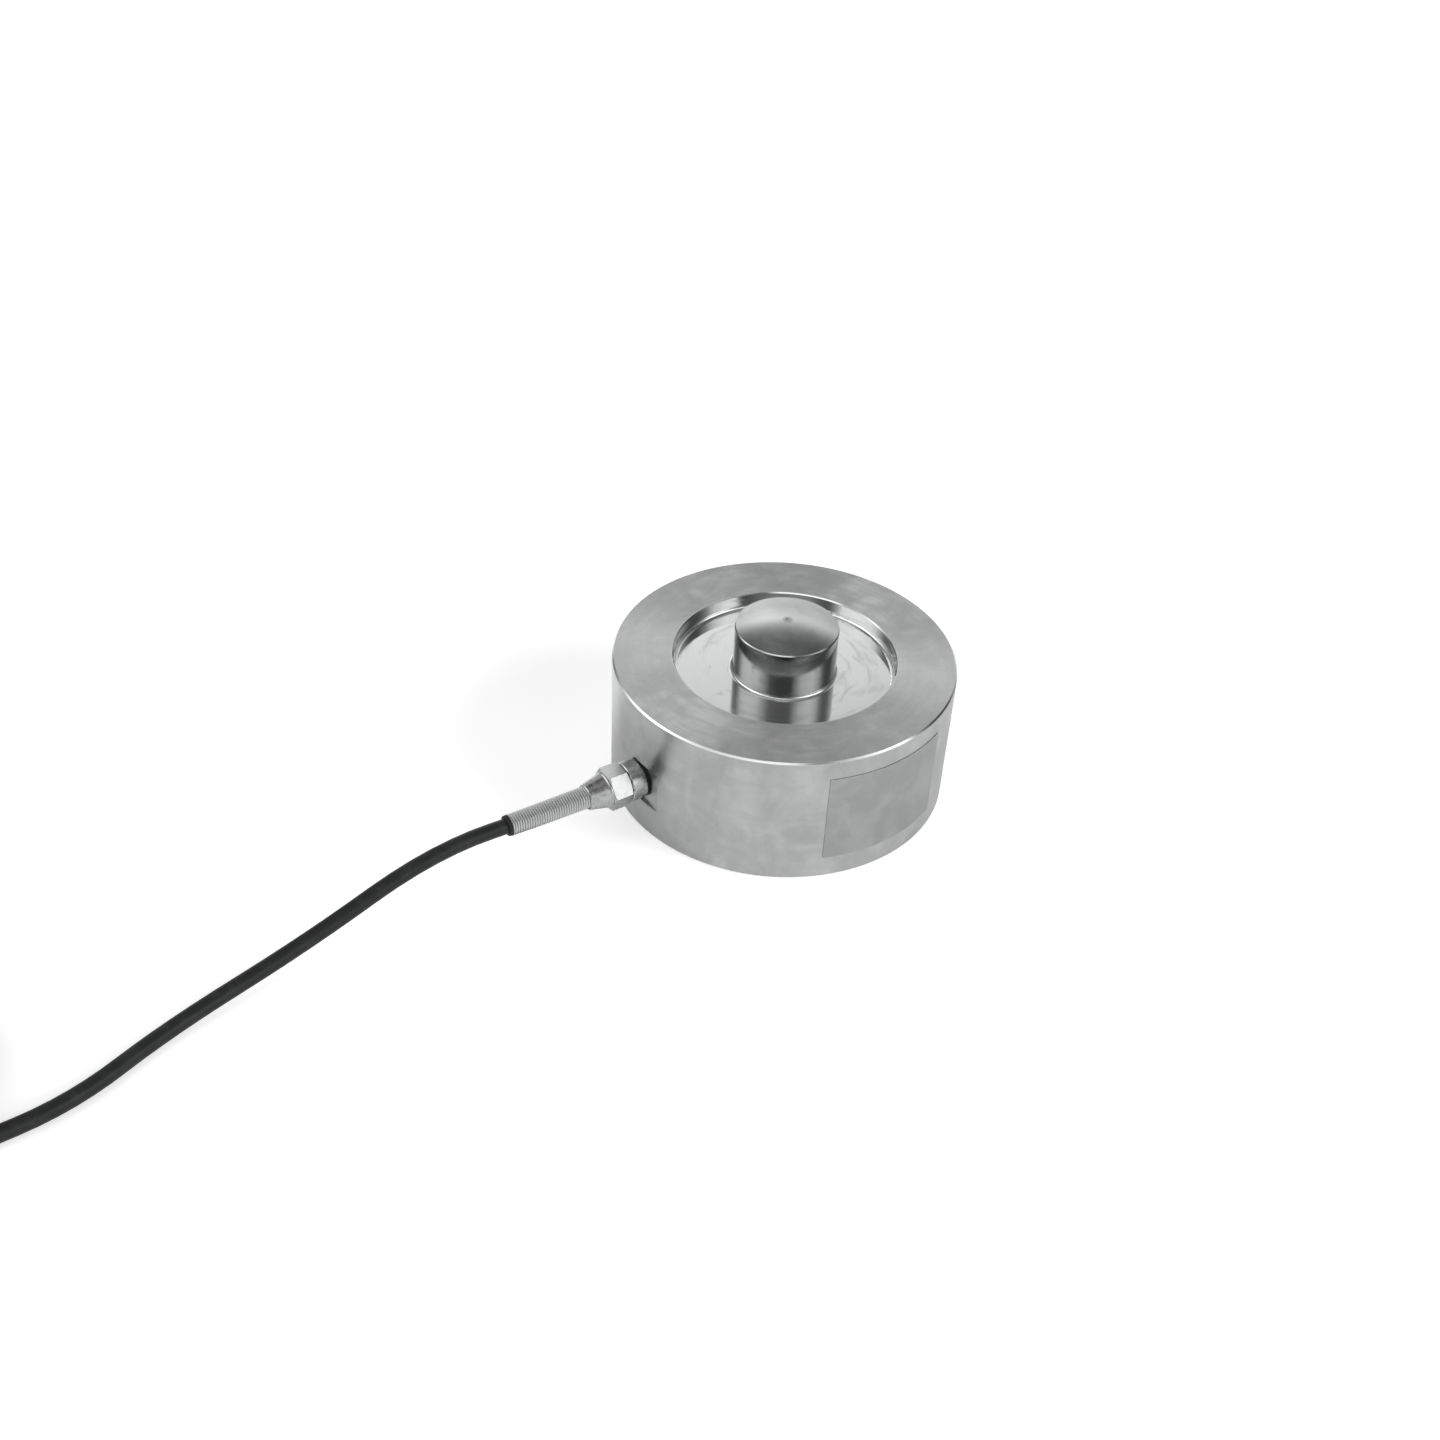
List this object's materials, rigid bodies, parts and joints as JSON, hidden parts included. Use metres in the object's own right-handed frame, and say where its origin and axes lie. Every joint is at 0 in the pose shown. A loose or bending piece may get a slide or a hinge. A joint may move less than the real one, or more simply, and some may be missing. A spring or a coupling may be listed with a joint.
{
  "type": "pancake load cell",
  "caption": "Low steel disc load cell with a domed load button in a round recess, a milled side flat with a cable gland, a spring bend relief and a black signal cable ending in bare leads.",
  "frame": {"origin": "centre of the body's underside", "axes": "+Z is the load axis, up out of the button; the cable gland points along -X"},
  "size_m": [0.5342, 0.1259, 0.0674],
  "materials": {
    "body_steel": "fine-ground satin alloy steel",
    "cover_steel": "turned steel sheet",
    "board_laminate": "green glass-fibre laminate",
    "screw_steel": "zinc-plated",
    "solder": "tin solder",
    "sealing_rubber": "matt black",
    "gland_plating": "satin nickel plating on brass",
    "washer_plastic": "natural nylon",
    "spring_steel": "bright drawn stainless wire",
    "cable_jacket": "satin black jacket",
    "tie_plastic": "black nylon",
    "plate_foil": "bare satin foil",
    "gauge_film": "amber polyimide film",
    "lead_copper": "tinned copper ribbon",
    "resistor_ceramic": "glazed ceramic",
    "core_red": "red insulation",
    "core_black": "black insulation",
    "core_green": "green insulation",
    "core_white": "white insulation"
  },
  "bodies": {
    "root": {"base_cover": "cover_steel", "board_screws": "screw_steel", "bridge_lead_inner_1": "lead_copper", "bridge_lead_inner_2": "lead_copper", "bridge_lead_inner_3": "lead_copper", "bridge_lead_inner_4": "lead_copper", "bridge_lead_outer_1": "lead_copper", "bridge_lead_outer_2": "lead_copper", "bridge_lead_outer_3": "lead_copper", "bridge_lead_outer_4": "lead_copper", "cable": "cable_jacket", "cable_coil": "cable_jacket", "cable_core_1": "core_red", "cable_core_2": "core_black", "cable_core_3": "core_green", "cable_core_4": "core_white", "coil_tie": "tie_plastic", "flying_lead_1": "core_red", "flying_lead_2": "core_black", "flying_lead_3": "core_green", "flying_lead_4": "core_white", "gauge_inner_1": "gauge_film", "gauge_inner_2": "gauge_film", "gauge_inner_3": "gauge_film", "gauge_inner_4": "gauge_film", "gauge_outer_1": "gauge_film", "gauge_outer_2": "gauge_film", "gauge_outer_3": "gauge_film", "gauge_outer_4": "gauge_film", "gland_body": "gland_plating", "gland_nut": "gland_plating", "gland_o_ring": "sealing_rubber", "gland_seal": "sealing_rubber", "gland_washer": "washer_plastic", "nameplate": "plate_foil", "passage_plug": "sealing_rubber", "solder_pads": "solder", "spring_body": "body_steel", "spring_end_bush": "sealing_rubber", "strain_relief_spring": "spring_steel", "tail_sleeve": "tie_plastic", "terminal_board": "board_laminate", "trim_resistor_1": "resistor_ceramic", "trim_resistor_2": "resistor_ceramic", "trim_resistor_3": "resistor_ceramic"}
  },
  "joints": []
}
